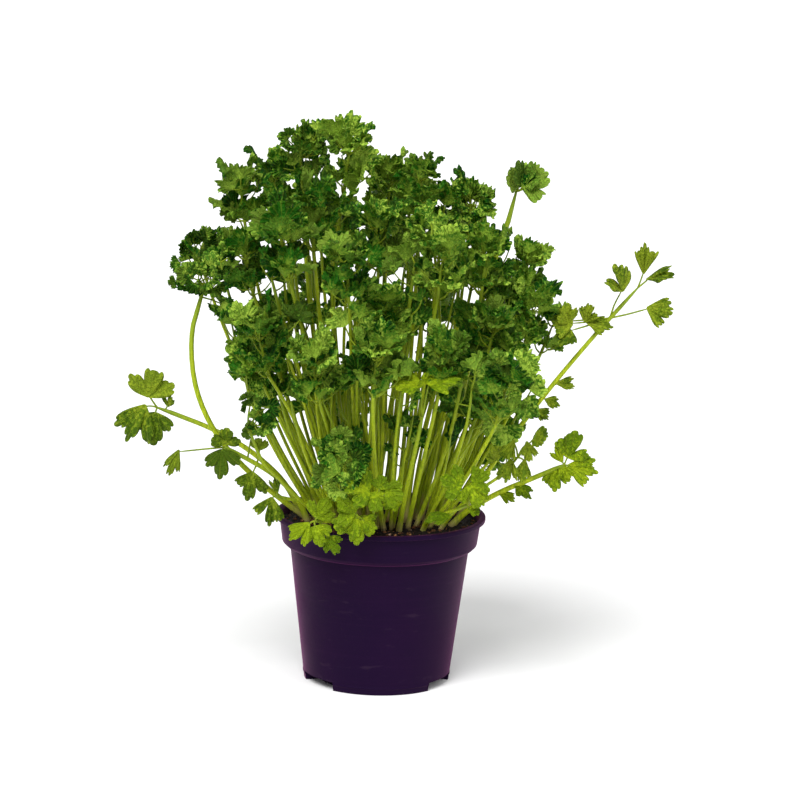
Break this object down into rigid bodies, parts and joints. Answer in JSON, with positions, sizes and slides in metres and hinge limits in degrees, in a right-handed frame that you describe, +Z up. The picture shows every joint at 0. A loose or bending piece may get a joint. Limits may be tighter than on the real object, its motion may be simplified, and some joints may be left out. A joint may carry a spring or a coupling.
{
  "type": "potted parsley",
  "caption": "Curly-leaved parsley growing in a round dark plastic nursery pot filled with compost, with arching leaf stalks and a domed crown of frilled leaves.",
  "frame": {"origin": "centre of the underside of the pot's floor, on the surface the pot stands on", "axes": "+Z up along the pot's axis, -Y towards the side the plant is seen from first, +X to that viewer's right"},
  "size_m": [0.3142, 0.2105, 0.3242],
  "materials": {
    "pot": "satin",
    "compost": "matte",
    "leaf": "satin",
    "young_leaf": "satin"
  },
  "bodies": {
    "root": {"pot": "pot", "compost": "compost", "frond_back_01": "leaf", "frond_back_02": "leaf", "frond_back_03": "leaf", "frond_back_04": "leaf", "frond_back_05": "leaf", "frond_back_06": "leaf", "frond_back_07": "leaf", "frond_back_08": "leaf", "frond_back_09": "leaf", "frond_back_10": "leaf", "frond_back_11": "leaf", "frond_bright_leaf": "young_leaf", "frond_crown_front": "leaf", "frond_crown_left": "leaf", "frond_crown_right": "leaf", "frond_fan_back": "leaf", "frond_fan_middle": "leaf", "frond_fan_right": "leaf", "frond_heart_left": "leaf", "frond_left_front": "leaf", "frond_left_heart": "leaf", "frond_left_high": "leaf", "frond_left_middle": "leaf", "frond_long_branch": "leaf", "frond_low_left": "young_leaf", "frond_low_left_inner": "young_leaf", "frond_low_middle": "leaf", "frond_low_right": "young_leaf", "frond_low_right_inner": "leaf", "frond_middle_front": "leaf", "frond_middle_high": "leaf", "frond_outer_right": "leaf", "frond_outlier_right": "leaf", "frond_right_heart": "leaf", "frond_right_high": "leaf", "frond_right_middle": "leaf", "frond_right_skirt": "leaf", "frond_right_skirt_low": "leaf", "frond_rim_front": "young_leaf", "frond_rim_front_left": "young_leaf", "frond_rim_left": "young_leaf", "frond_shoulder_back": "leaf", "frond_shoulder_left": "leaf", "frond_skirt_left": "leaf", "frond_skirt_left_front": "leaf", "frond_skirt_middle": "leaf", "frond_skirt_middle_left": "leaf", "frond_skirt_middle_right": "leaf", "frond_wing_left_arch": "leaf", "frond_wing_left_high": "leaf", "frond_wing_right": "leaf", "frond_wing_right_low": "leaf", "frond_young_middle": "young_leaf", "frond_young_right": "young_leaf"}
  },
  "joints": []
}
